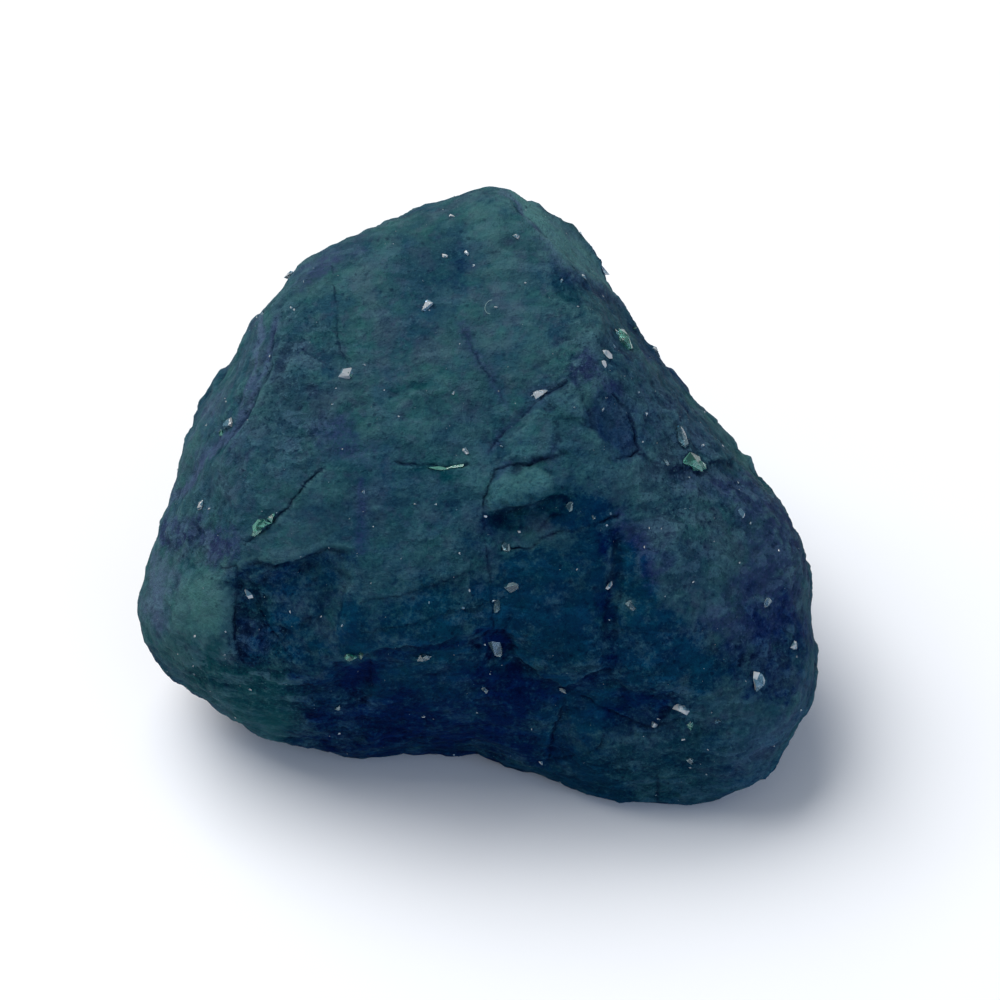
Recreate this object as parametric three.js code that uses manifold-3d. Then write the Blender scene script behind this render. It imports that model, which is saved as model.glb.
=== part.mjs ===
// A raw emerald: one rough stone as it broke from its rock, with worn faces, ledges left by lost flakes,
// open cracks and small clear chips held in its skin. It lies on a flat broken face.
// Millimetres, +Z up, origin under the middle of the stone on the surface that it lies on.

import * as THREE from "three";
import { ImprovedNoise } from "three/addons/math/ImprovedNoise.js";
import { mergeVertices } from "three/addons/utils/BufferGeometryUtils.js";
import Module from "manifold-3d";

const wasm = await Module();
wasm.setup();

// The stone is shaped in the frame of its front: x to the right, y up the front, z out of it, from the
// stone's middle. It then leans back, so that its base is level.
const LEAN_DEG = 40; // from an upright front to the front as it lies
const BASE_DROP = 13.6; // from the stone's middle straight down to its flat base
const FRONT_DEPTH = 15.5; // how far the rounded block reaches out of the front
const BACK_DEPTH = 17.5; // and out of the back
const BLOCK_POWER = 2.5; // 2 is an ellipsoid, more is a squarer block
const EDGE_POWER = 28; // how sharp the edges between two faces are
const FACETS = 19; // divisions of each edge of the icosahedron that becomes the skin
const FRONT_CROWDING = 0.8; // under 1, the front has the smaller facets
const COLOUR = 0x2b5560;

// The widest outline, seen square on to the front, clockwise from the peak.
const OUTLINE = [
  [0.3, 20.9], [2.6, 20.4], [5.3, 18.6], [7.6, 16.1], [9.2, 13.6], [10.1, 12.4], [11.8, 10.2], [12.8, 8.4],
  [14.5, 6.4], [16.6, 4.2], [18.4, 1.6], [20.1, 0], [21.1, -2.6], [21.8, -5.3], [21.7, -7.9], [22.4, -10.5],
  [21.5, -13.2], [19.9, -15.8], [18.1, -18.6], [15.8, -19.7], [12.5, -20.5], [9.2, -20.3], [6.6, -19.5],
  [5.4, -18.4], [2.6, -17.8], [0.7, -16.9], [-2.6, -16.6], [-5.9, -16.9], [-8.2, -17.1], [-9.5, -16.5],
  [-12.5, -16.1], [-15.1, -15.3], [-18.1, -13], [-20.7, -10.9], [-22.2, -9.2], [-22.5, -6.9], [-21.7, -3.9],
  [-20.7, -0.7], [-19.9, 2.3], [-18.8, 5.3], [-17.1, 7.9], [-15.8, 10.5], [-15.1, 11.8], [-13.2, 13.8],
  [-11.8, 15.7], [-9.2, 17.1], [-6.6, 18.3], [-3.9, 19.7], [-1.3, 20.3],
];
const OUTLINE_SAMPLES = 720;
const ROUND_STEP_DEG = 2; // between two measured angles round the outline
const BEND_SPREAD_DEG = [-24, -16, -8, 0, 8, 16, 24]; // angles averaged for the outline without its bends
const RIM_SHARPNESS = 12; // how fast the outline's bends fade from the rim to the front and the back
const RIM_BAND_DEG = 70; // the rim is looked for this far to the front and to the back
const RIM_PASSES = 6; // rounds of widening the rim to the outline

// The broken faces. turn is the way a face looks round the outline (0 right, 90 up), tilt how far it is
// turned from the front (0 front, 180 back), and distance is from the middle to its plane.
const FACES = {
  crown: { turn: 100, tilt: 22, distance: 12.6 },
  middle: { turn: 250, tilt: 6, distance: 12.3 },
  underside: { turn: 265, tilt: 58, distance: 14.2 },
  leftFlank: { turn: 165, tilt: 60, distance: 18.9 },
  leftCorner: { turn: 200, tilt: 48, distance: 19.4 },
  lowerLeft: { turn: 238, tilt: 60, distance: 19.2 },
  rightShoulder: { turn: 30, tilt: 42, distance: 15.2 },
  upperRight: { turn: 40, tilt: 74, distance: 15.4 },
  rightLobe: { turn: 5, tilt: 32, distance: 14.9 },
  rightFlank: { turn: -8, tilt: 66, distance: 21.4 },
  lowerLobe: { turn: -62, tilt: 50, distance: 19.2 },
  wedge: { turn: 275, tilt: 28, distance: 13.7 },
  base: { turn: 270, tilt: 180 - LEAN_DEG, distance: 14 },
  peak: { turn: 84, tilt: 70, distance: 18.6 },
  topBack: { turn: 68, tilt: 118, distance: 14.6 },
  topLeftBack: { turn: 128, tilt: 108, distance: 17.8 },
  leftBack: { turn: 178, tilt: 110, distance: 20.2 },
  rightBack: { turn: 8, tilt: 104, distance: 20.4 },
  lowRightBack: { turn: -40, tilt: 116, distance: 20.6 },
  back: { turn: 104, tilt: 150, distance: 14.8 },
  backCorner: { turn: 22, tilt: 138, distance: 15.8 },
};

// Lumps (rise over 0) and hollows of the front: middle, half length and width, turn of the length, rise.
const RELIEF = {
  crownSwell: { at: [-3, 9.5], half: [6, 4], turn: 15, rise: 0.5 },
  crownStep: { at: [-3.6, 6.2], half: [5, 0.7], turn: 4, rise: -0.3 },
  ridge: { at: [6.9, 11.5], half: [5.4, 1.1], turn: -72, rise: 0.8 },
  ridgeFoot: { at: [5.9, 14.3], half: [1.9, 0.8], turn: -55, rise: -0.6 },
  ridgePocket: { at: [8.9, 4.6], half: [1.9, 1.3], turn: -40, rise: -1.2 },
  shoulderFoot: { at: [14.5, 2.2], half: [3.2, 0.8], turn: -8, rise: -0.7 },
  stripGroove: { at: [-15.9, 6.2], half: [5.4, 0.9], turn: 68, rise: -0.5 },
  greenBoss: { at: [3.2, 0.9], half: [2.3, 1.3], turn: 10, rise: 0.7 },
  bossUndercut: { at: [4.3, -1.7], half: [3.2, 0.9], turn: 12, rise: -0.8 },
  middleSwell: { at: [-3.4, -5], half: [4, 3.6], turn: 8, rise: 0.7 },
  middleLip: { at: [-3.9, -8.6], half: [4, 1.2], turn: 8, rise: 0.5 },
  jointLeftOfWedge: { at: [0.7, -6.1], half: [3.6, 0.9], turn: 95, rise: -1 },
  jointFoot: { at: [1.2, -9.7], half: [1.5, 1.1], turn: 0, rise: -1.1 },
  jointRightOfWedge: { at: [8.6, -6.6], half: [3.8, 0.9], turn: 92, rise: -0.9 },
  lobeValley: { at: [9.9, -2.6], half: [2.6, 0.9], turn: 105, rise: -0.8 },
  wedgeLeftEdge: { at: [3.6, -11.8], half: [2.4, 0.9], turn: -39, rise: -1.2 },
  wedgeRightEdge: { at: [7.2, -12.1], half: [2.2, 0.8], turn: 31, rise: -1 },
  lobeCrease: { at: [9.9, -13.9], half: [3.6, 1], turn: -12, rise: -1.1 },
  notch: { at: [4.9, -15.6], half: [2.2, 1], turn: 75, rise: -0.9 },
  darkPocket: { at: [-7.9, -12], half: [1.6, 0.9], turn: 85, rise: -0.8 },
  chipHollow: { at: [17.8, -11.1], half: [1.3, 1], turn: 0, rise: -0.7 },
  undersideLump: { at: [-2.6, -13.2], half: [3.2, 1.3], turn: 6, rise: 0.6 },
  undersideKnob: { at: [2.4, -14.6], half: [1.9, 1.4], turn: 20, rise: 0.7 },
  rightSwell: { at: [13.8, -3.9], half: [4, 4], turn: 0, rise: 0.8 },
  lowerSwell: { at: [13.2, -17.2], half: [4, 2], turn: 0, rise: 0.6 },
};
const RELIEF_FADE = [0.05, 0.4]; // the front's relief fades in between these shares of facing front

// Worn roughness all over: wavelength and height of each noise.
const ROUGHNESS = [
  { wave: 9, height: 0.5 },
  { wave: 3.4, height: 0.22 },
];

// Flakes broken out of the stone: the outline of each, and the height and slope (about x and y) of the
// floor that it left, at the middle of its outline. One on the back is given as it is seen from behind.
const FLAKES = [
  {
    outline: [
      [-16.1, -4.3], [-14.3, -5.1], [-12.6, -4.1], [-11, -3.6], [-9.5, -3.2], [-8.3, -3.7],
      [-8.4, -5.4], [-9.1, -7.3], [-8.9, -9.9], [-11.8, -11.4], [-15.1, -11], [-16.1, -9.5],
    ],
    floor: 9.3,
    slopeDeg: [19, -14],
    onBack: false,
  },
  {
    outline: [[-6, 8.5], [-3.5, 10.5], [0.5, 10], [3.5, 11], [5, 7.5], [3, 4.5], [-1, 3], [-4.5, 4.5]],
    floor: 13.2,
    slopeDeg: [-38, 0],
    onBack: true,
  },
  {
    outline: [[8.5, 3.5], [11, 5], [14.5, 4], [16.5, 1], [15, -2.5], [11.5, -3.5], [9, -1]],
    floor: 13.8,
    slopeDeg: [-19, 29],
    onBack: true,
  },
];

// Open cracks across the front, cut as half-round grooves.
const CRACK_RADIUS = 0.24;
const CRACK_STEP = 0.7;
const CRACK_SIDES = 3; // along each half of the groove's round section
const CRACKS = [
  [[-10.4, 2.1], [-11.3, 1.2], [-12.4, 0.3], [-13.1, -0.8], [-14.3, -2], [-15.5, -3]],
  [[-5.5, 2.5], [-3.9, 2.4], [-2.3, 2.2], [-0.9, 2.4]],
  [[6.3, 3.5], [4.6, 2.8], [2.6, 2.4], [1.1, 2.1], [0.5, 1], [0.2, -0.3], [0.3, -2], [0.5, -3.6]],
  [[1.5, -3.2], [3.3, -3.2], [4.5, -2.5], [6.3, -2.2], [7.9, -1.4], [9.1, -1.1]],
  [[-1.2, 11.5], [-0.7, 10.5], [-0.1, 9.5], [0.4, 8.4], [1.2, 7.1]],
  [[8.8, 6.9], [9.6, 5.8], [10.1, 4.6], [10.5, 3.5], [9.7, 2.6]],
];

// The larger clear chips, fused to the skin: place on the front, and length across.
const CHIPS = [
  { at: [9.4, 10.5], size: 1.6 }, { at: [18.2, -11.9], size: 1.25 }, { at: [13.3, -13.7], size: 1.25 },
  { at: [1, -9.7], size: 1.2 }, { at: [14, 2.5], size: 1.6 }, { at: [13.2, 4.1], size: 1.3 },
  { at: [-14.1, -1.6], size: 1.5 }, { at: [-8.4, -10.3], size: 1.3 }, { at: [-8.8, 8.3], size: 1.1 },
  { at: [-3.5, 12.8], size: 0.9 }, { at: [-16.5, 4.9], size: 1 }, { at: [3.9, 6.9], size: 0.9 },
];
const CHIP_SHAPE = [0.5, 0.36, 0.3]; // half sizes of a chip, as shares of its length
const CHIP_TURN_DEG = [20, 75]; // each chip is turned this much more than the last, about x and about z
const GROUND_SIDE = 100; // the block of ground that cuts the base

const radians = THREE.MathUtils.degToRad;
const { lerp, clamp, smoothstep } = THREE.MathUtils;
const noise = new ImprovedNoise();
const OUTWARD = new THREE.Vector3(0, 0, 1);

function faceNormal({ turn, tilt }) {
  const across = Math.sin(radians(tilt));
  const x = across * Math.cos(radians(turn));
  const y = across * Math.sin(radians(turn));
  return new THREE.Vector3(x, y, Math.cos(radians(tilt)));
}

const planes = Object.values(FACES).map((face) => ({ normal: faceNormal(face), distance: face.distance }));

// A value for each angle round the middle, as a function that reads between the samples.
function roundTable(samples) {
  const sorted = [...samples].sort((a, b) => a.angle - b.angle);
  return (angle) => {
    const next = clamp(sorted.findIndex((sample) => sample.angle > angle), 1, sorted.length - 1);
    const a = sorted[next - 1];
    const b = sorted[next];
    return lerp(a.value, b.value, clamp((angle - a.angle) / (b.angle - a.angle), 0, 1));
  };
}

function tableOf(valueAt) {
  const samples = [];
  for (let degrees = -180; degrees <= 180; degrees += ROUND_STEP_DEG) {
    const angle = radians(degrees);
    samples.push({ angle, value: valueAt(angle) });
  }
  return roundTable(samples);
}

function outlineTable() {
  const points = OUTLINE.map(([x, y]) => new THREE.Vector3(x, y, 0));
  const curve = new THREE.CatmullRomCurve3(points, true, "centripetal");
  const toSample = ({ x, y }) => ({ angle: Math.atan2(y, x), value: Math.hypot(x, y) });
  return roundTable(curve.getPoints(OUTLINE_SAMPLES).map(toSample));
}

const outlineRadius = outlineTable();

function withoutBends(angle) {
  let sum = 0;
  for (const degrees of BEND_SPREAD_DEG) {
    const near = angle + radians(degrees);
    sum += outlineRadius(Math.atan2(Math.sin(near), Math.cos(near)));
  }
  return sum / BEND_SPREAD_DEG.length;
}

const broadRadius = tableOf(withoutBends);

const angleRound = ({ x, y }) => Math.atan2(y, x);
const shareOfRim = ({ x, y }) => Math.hypot(x, y) ** RIM_SHARPNESS;

// How far the block reaches from its middle: rounded on the outline, and cut by the faces.
function reach(direction) {
  const angle = angleRound(direction);
  const radius = lerp(broadRadius(angle), outlineRadius(angle), shareOfRim(direction));
  const depth = direction.z > 0 ? FRONT_DEPTH : BACK_DEPTH;
  const across = Math.hypot(direction.x, direction.y) / radius;
  const block = across ** BLOCK_POWER + (Math.abs(direction.z) / depth) ** BLOCK_POWER;
  let sum = block ** (EDGE_POWER / BLOCK_POWER);
  for (const { normal, distance } of planes) {
    sum += Math.max(0, direction.dot(normal) / distance) ** EDGE_POWER;
  }
  return sum ** (-1 / EDGE_POWER);
}

function roughness(point) {
  let height = 0;
  for (const { wave, height: most } of ROUGHNESS) {
    height += most * noise.noise(point.x / wave, point.y / wave, point.z / wave);
  }
  return height;
}

function wornBlock(direction) {
  const point = direction.clone().multiplyScalar(reach(direction));
  return point.addScaledVector(direction, roughness(point));
}

// The faces draw the block in at its rim. This is how much wider the rim has to be to meet the outline.
function rimWidening(angle) {
  const slice = [];
  for (let degrees = -RIM_BAND_DEG; degrees <= RIM_BAND_DEG; degrees += ROUND_STEP_DEG) {
    const up = radians(degrees);
    const direction = new THREE.Vector3(Math.cos(up), 0, Math.sin(up)).applyAxisAngle(OUTWARD, angle);
    const point = wornBlock(direction);
    slice.push({ across: Math.hypot(point.x, point.y), share: shareOfRim(direction) });
  }
  let widening = 1;
  for (let pass = 0; pass < RIM_PASSES; pass++) {
    const widest = Math.max(...slice.map(({ across, share }) => across * lerp(1, widening, share)));
    widening *= outlineRadius(angle) / widest;
  }
  return widening;
}

const wideningAt = tableOf(rimWidening);

function relief(x, y) {
  let height = 0;
  for (const { at, half, turn, rise } of Object.values(RELIEF)) {
    const cos = Math.cos(radians(turn));
    const sin = Math.sin(radians(turn));
    const along = ((x - at[0]) * cos + (y - at[1]) * sin) / half[0];
    const across = ((y - at[1]) * cos - (x - at[0]) * sin) / half[1];
    height += rise * Math.exp(-(along ** 4) - across ** 2);
  }
  return height;
}

// A point of the skin in the given direction from the middle.
function skin(direction) {
  const point = wornBlock(direction);
  const widening = lerp(1, wideningAt(angleRound(direction)), shareOfRim(direction));
  point.x *= widening;
  point.y *= widening;
  point.z += smoothstep(direction.z, ...RELIEF_FADE) * relief(point.x, point.y);
  return point;
}

function crowdFront(direction) {
  const from = Math.acos(clamp(direction.z, -1, 1));
  const to = 2 * Math.atan(FRONT_CROWDING * Math.tan(from / 2));
  const share = Math.sin(to) / (Math.hypot(direction.x, direction.y) || 1);
  return direction.set(direction.x * share, direction.y * share, Math.cos(to));
}

function merged(geometry) {
  geometry.deleteAttribute("normal");
  geometry.deleteAttribute("uv");
  return mergeVertices(geometry);
}

function solidOf(geometry) {
  const { index, attributes } = merged(geometry);
  const triVerts = new Uint32Array(index.array);
  const vertProperties = attributes.position.array;
  return new wasm.Manifold(new wasm.Mesh({ numProp: 3, vertProperties, triVerts }));
}

function geometryOf(solid) {
  const mesh = solid.getMesh();
  const geometry = new THREE.BufferGeometry();
  geometry.setAttribute("position", new THREE.BufferAttribute(mesh.vertProperties, 3));
  geometry.setIndex(new THREE.BufferAttribute(mesh.triVerts, 1));
  return geometry;
}

function stoneBody() {
  const geometry = merged(new THREE.IcosahedronGeometry(1, FACETS));
  const position = geometry.getAttribute("position");
  const direction = new THREE.Vector3();
  for (let i = 0; i < position.count; i++) {
    const point = skin(crowdFront(direction.fromBufferAttribute(position, i).normalize()));
    position.setXYZ(i, point.x, point.y, point.z);
  }
  return solidOf(geometry);
}

// The front's skin over a place (x, y) of the front.
function frontFinder(solid) {
  const mesh = new THREE.Mesh(geometryOf(solid));
  const ray = new THREE.Raycaster();
  const inward = OUTWARD.clone().negate();
  return ([x, y]) => {
    ray.set(new THREE.Vector3(x, y, 2 * FRONT_DEPTH), inward);
    return ray.intersectObject(mesh)[0].point;
  };
}

function flake({ outline, floor, slopeDeg, onBack }) {
  const shape = new THREE.Shape(outline.map(([x, y]) => new THREE.Vector2(x, y)));
  const geometry = new THREE.ExtrudeGeometry(shape, { depth: FRONT_DEPTH, bevelEnabled: false });
  geometry.computeBoundingBox();
  const middle = geometry.boundingBox.getCenter(new THREE.Vector3());
  geometry.translate(-middle.x, -middle.y, 0);
  geometry.rotateX(radians(slopeDeg[0]));
  geometry.rotateY(radians(slopeDeg[1]));
  geometry.translate(middle.x, middle.y, floor);
  geometry.rotateY(onBack ? Math.PI : 0);
  return solidOf(geometry);
}

function crack(line, front) {
  const flat = new THREE.CatmullRomCurve3(line.map(([x, y]) => new THREE.Vector3(x, y, 0)));
  const steps = Math.ceil(flat.getLength() / CRACK_STEP);
  const path = flat.getSpacedPoints(steps).map(({ x, y }) => front([x, y]));
  const section = new THREE.Shape().absarc(0, 0, CRACK_RADIUS, 0, 2 * Math.PI);
  const extrudePath = new THREE.CatmullRomCurve3(path);
  return solidOf(new THREE.ExtrudeGeometry(section, { steps, curveSegments: CRACK_SIDES, extrudePath }));
}

function chip({ at, size }, index, front) {
  const [x, y] = at;
  const geometry = new THREE.IcosahedronGeometry(size, 0);
  geometry.scale(...CHIP_SHAPE);
  geometry.rotateX(radians(index * CHIP_TURN_DEG[0]));
  geometry.rotateZ(radians(index * CHIP_TURN_DEG[1]));
  geometry.translate(x, y, front(at).z);
  return solidOf(geometry);
}

function ground() {
  const block = new THREE.BoxGeometry(GROUND_SIDE, GROUND_SIDE, GROUND_SIDE);
  block.translate(0, 0, -GROUND_SIDE / 2 - BASE_DROP);
  block.rotateX(-radians(LEAN_DEG));
  return solidOf(block);
}

function emeraldSolid() {
  let solid = stoneBody();
  for (const spec of FLAKES) {
    solid = solid.subtract(flake(spec));
  }
  const front = frontFinder(solid);
  for (const line of CRACKS) {
    solid = solid.subtract(crack(line, front));
  }
  CHIPS.forEach((spec, index) => {
    solid = solid.add(chip(spec, index, front));
  });
  return solid.subtract(ground());
}

function emerald() {
  const geometry = geometryOf(emeraldSolid());
  geometry.rotateX(radians(LEAN_DEG));
  geometry.computeBoundingBox();
  const { min } = geometry.boundingBox;
  const middle = geometry.boundingBox.getCenter(new THREE.Vector3());
  const material = new THREE.MeshStandardMaterial({ color: COLOUR, roughness: 0.6, metalness: 0 });
  const mesh = new THREE.Mesh(geometry, material);
  mesh.name = "emerald";
  mesh.position.set(-middle.x, -middle.y, -min.z);
  return mesh;
}

const stone = new THREE.Group();
stone.add(emerald());

export default stone;
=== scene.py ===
"""A raw emerald on a pale floor: its broken skin, its colours, and the clear chips and lint held in it."""

import math
from collections import namedtuple

import bmesh
import bpy
import numpy as np
from mathutils import Matrix, Vector
from mathutils.bvhtree import BVHTree


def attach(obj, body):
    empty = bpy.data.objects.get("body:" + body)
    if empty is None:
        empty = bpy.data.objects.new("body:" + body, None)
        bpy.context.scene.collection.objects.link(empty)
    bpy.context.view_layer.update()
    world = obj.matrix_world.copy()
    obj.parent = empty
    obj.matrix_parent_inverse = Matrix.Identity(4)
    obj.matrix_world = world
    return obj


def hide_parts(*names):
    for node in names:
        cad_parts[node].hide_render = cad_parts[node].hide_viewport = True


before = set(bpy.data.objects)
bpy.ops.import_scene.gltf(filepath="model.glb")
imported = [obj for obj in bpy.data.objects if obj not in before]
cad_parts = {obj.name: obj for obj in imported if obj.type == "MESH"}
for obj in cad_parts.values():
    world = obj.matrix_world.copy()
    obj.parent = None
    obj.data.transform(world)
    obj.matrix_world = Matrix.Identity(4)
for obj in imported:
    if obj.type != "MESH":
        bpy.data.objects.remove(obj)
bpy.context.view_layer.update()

MM = 0.001
SEED = 11

# Camera: a long lens at the photograph's angle
IMAGE = 1000  # pixels along each side of the picture
STONE_IN_PICTURE = (137, 182, 821, 811)  # left, top, right and bottom of the stone in the photograph
CAMERA_HEIGHT_DEG = 50
CAMERA_DISTANCE = 0.4
SENSOR = 36.0

# Mesh of the skin, in millimetres
VOXEL = 0.44
FORM_ROUNDS = 10  # rounds of evening out the solid's flat facets
EVEN_ROUNDS = 4  # rounds of evening out its finer mesh
FINE_FACING = -0.1  # skin turned to the camera by at least this, from -1 to 1, has a finer mesh
FINE_ABOVE = 0.5  # where it is this far above the floor
LINE_REACH = 0.17  # the mesh is split once more within this of any crack
CRACK_REACH = 0.11  # and once more within this of an open one
OPEN_CRACK = 0.18  # depth over which a crack is open and not just a line
LEVELLED = ("left", "slit", "boss_top", "boss_side", "wedge_top", "crown", "pocket")  # grooves on the solid
LEVEL_ROUNDS = 60  # rounds of evening those out
LEVELLED_CHIP = 0.8  # chips with a longer reach than this are on the solid too
GRAIN = np.array((0.906, 0.324, 0.272))  # the way in which the stone breaks, up to the right on its front
GRAIN_SQUEEZE = 0.5  # what is broken is this much narrower across the grain
TINT_BLUR = 4  # most pixels by which a zone's colour is softer than its relief
EDGE_SWAY = 4.0  # pixels by which the outlines of zones and the lines of colour waver
CRACK_SWAY = 1.6  # and by which cracks and ledges do
OVERHANG_FROM = (300, 440)  # pixels from the left over which painted shade darkens the foot that hangs over
OVERHANG_TO = (570, 650)  # and over which that painted shade gets lighter again
OVERHANG_LIGHTER = 0.6  # by this share
OVERHANG_SHADE = 0.8  # how dark the painted shade there gets
LOW_FRONT_SHADE = 0.45  # how dark the painted shade on the front gets towards its foot

# Relief of the broken skin: height and size in millimetres, and where its random numbers start
Relief = namedtuple("Relief", "height size seed")
WARP = Relief(0.6, 2.5, 40)  # bends the forms below
SWELLS = Relief(0.12, 3.6, 60)
DISHES = Relief(0.24, 5.2, 31)
SCARS = [  # flake scars, each with the share of the warp that bends it
    (Relief(0.27, 2.2, 1), 1.0),
    (Relief(0.16, 1.0, 21), 1.0),
    (Relief(0.07, 0.5, 51), 0.4),
]
GRIT = Relief(0.035, 0.6, 70)
ROUGH_PATCHES = Relief(0.3, 7, 50)  # how the roughness changes from place to place
ROUGH_MEAN = 0.85
ROUGH_LIMITS = (0.25, 2.0)
CRACK_DEPTH = 0.6  # share of a crack's depth that is cut
CRACK_MOUTH = 1.5  # half-widths of a crack over which it falls in
CRACK_SHADE = 1.7  # half-widths of a crack that painted shade darkens
HOLLOWS = ((25, 0.45), (4, 0.26))  # rounds of evening out, and the fall in millimetres that counts as full

# The same on the sides that the photograph does not show
BACK_DISHES = Relief(0.6, 8.0, 33)
BACK_FLAKES = [Relief(0.35, 12, 160), Relief(0.25, 9, 170)]
BACK_DROP = 0.3  # the mean height of those flakes, in millimetres
BACK_ROUGHER = 0.3  # how much rougher the skin is there
BACK_UNEVEN = 0.4  # and how much more its roughness changes from place to place
BACK_TINTS = [("purple", 9, 0.8), ("pale", 8, 0.6), ("deep_tone_and_shade", 10, 0.7)]  # with wave in mm and strength
BACK_FOOT_SHADE = 0.9  # painted shade: how dark the stone is where it turns under
SEAM_DEPTH = 0.3  # millimetres
SEAM_SHADE = 0.6  # how dark the painted shade in a seam is
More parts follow.
